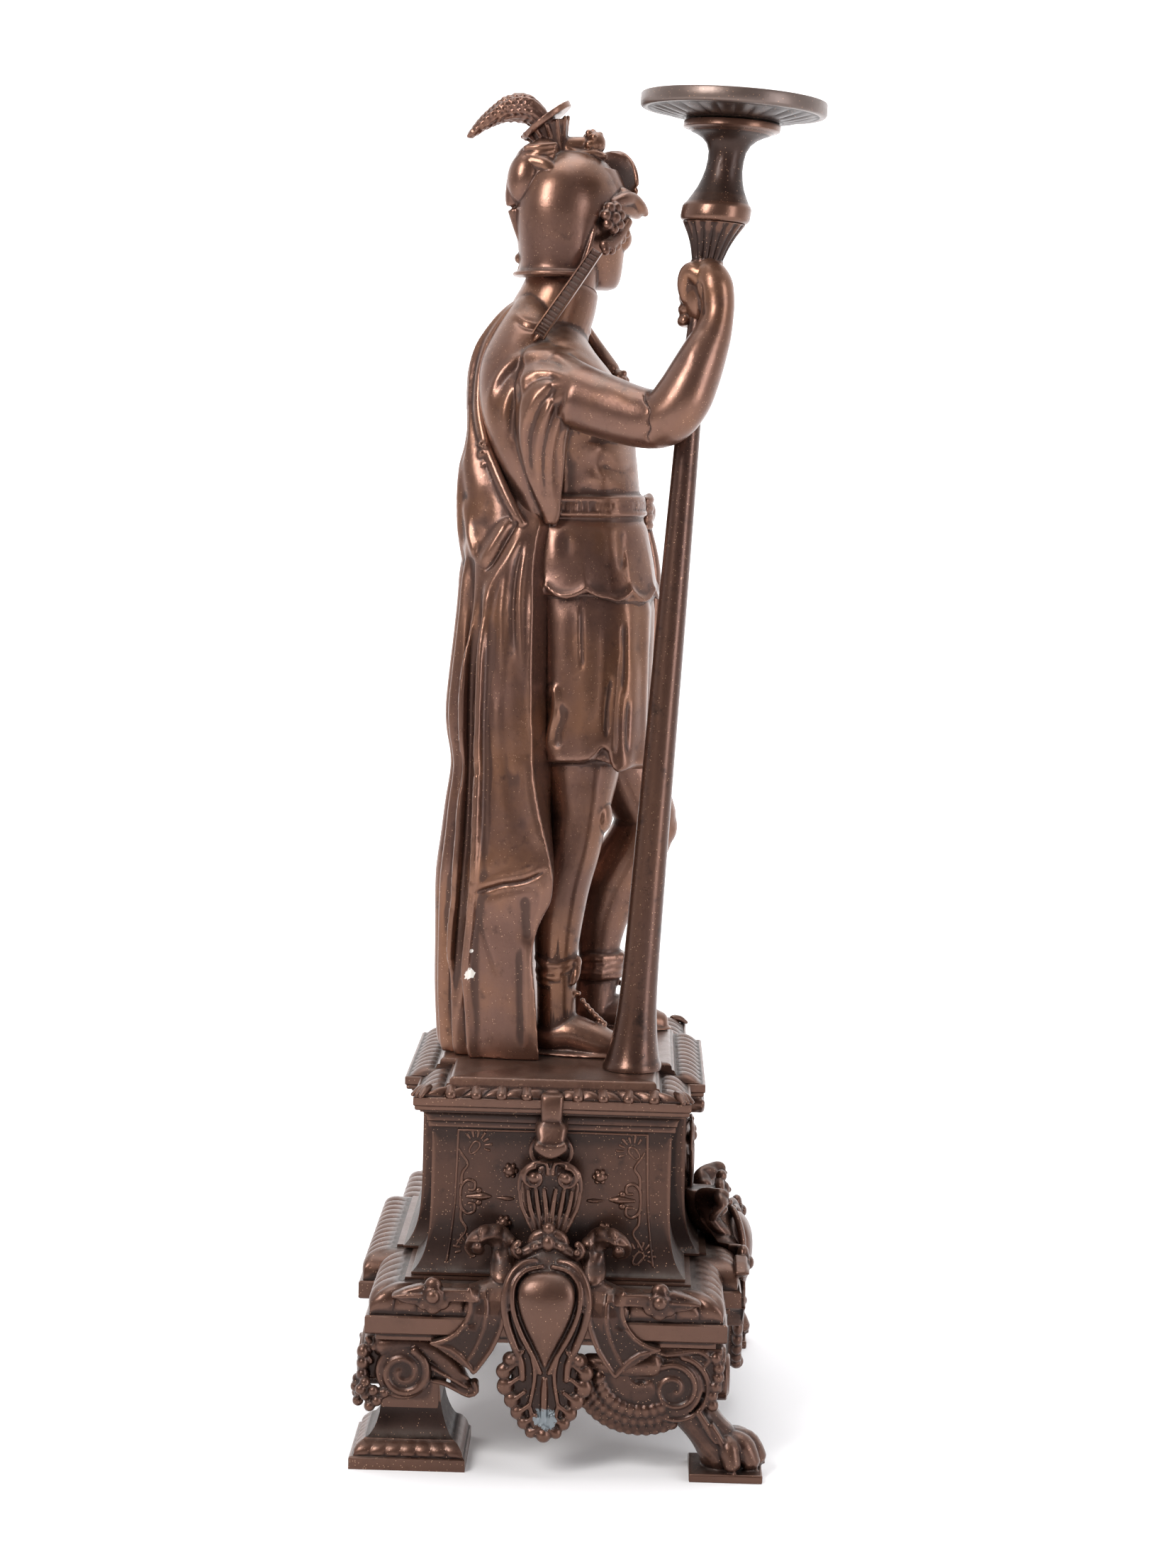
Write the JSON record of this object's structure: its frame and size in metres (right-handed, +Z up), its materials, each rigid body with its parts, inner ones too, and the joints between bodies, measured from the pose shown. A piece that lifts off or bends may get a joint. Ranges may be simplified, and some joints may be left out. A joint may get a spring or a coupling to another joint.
{
  "type": "mantel figure on plinth",
  "caption": "Helmeted warrior figure in a long cloak holding a tall torch with a dish, on a stepped plinth with scroll legs",
  "frame": {"origin": "centre of the whole object's box in plan, on the ground under the feet", "axes": "+Z up, -Y the way the figure and the paw feet face, -X the figure's right hand and the side in the picture"},
  "size_m": [0.2156, 0.1674, 0.5175],
  "materials": {
    "bronze_lacquer": "satin brown bronze lacquer with fine copper flake, dust on upward faces",
    "bronze_lacquer_base": "satin brown bronze lacquer, darker in the recesses, rubbed on the gadroons",
    "bronze_lacquer_torch": "satin brown bronze lacquer with fine copper flake",
    "worn_metal": "bronze lacquer worn thin to grey-brown metal"
  },
  "bodies": {
    "root": {"figure": "bronze_lacquer", "leg_front_left": "bronze_lacquer_base", "leg_front_right": "bronze_lacquer_base", "leg_rear_left": "bronze_lacquer_base", "leg_rear_right": "bronze_lacquer_base", "ornament_front": "bronze_lacquer_base", "ornament_left": "bronze_lacquer_base", "ornament_right": "bronze_lacquer_base", "plinth": "bronze_lacquer_base", "step": "bronze_lacquer_base", "torch_dish": "worn_metal", "torch_staff": "bronze_lacquer_torch"}
  },
  "joints": []
}
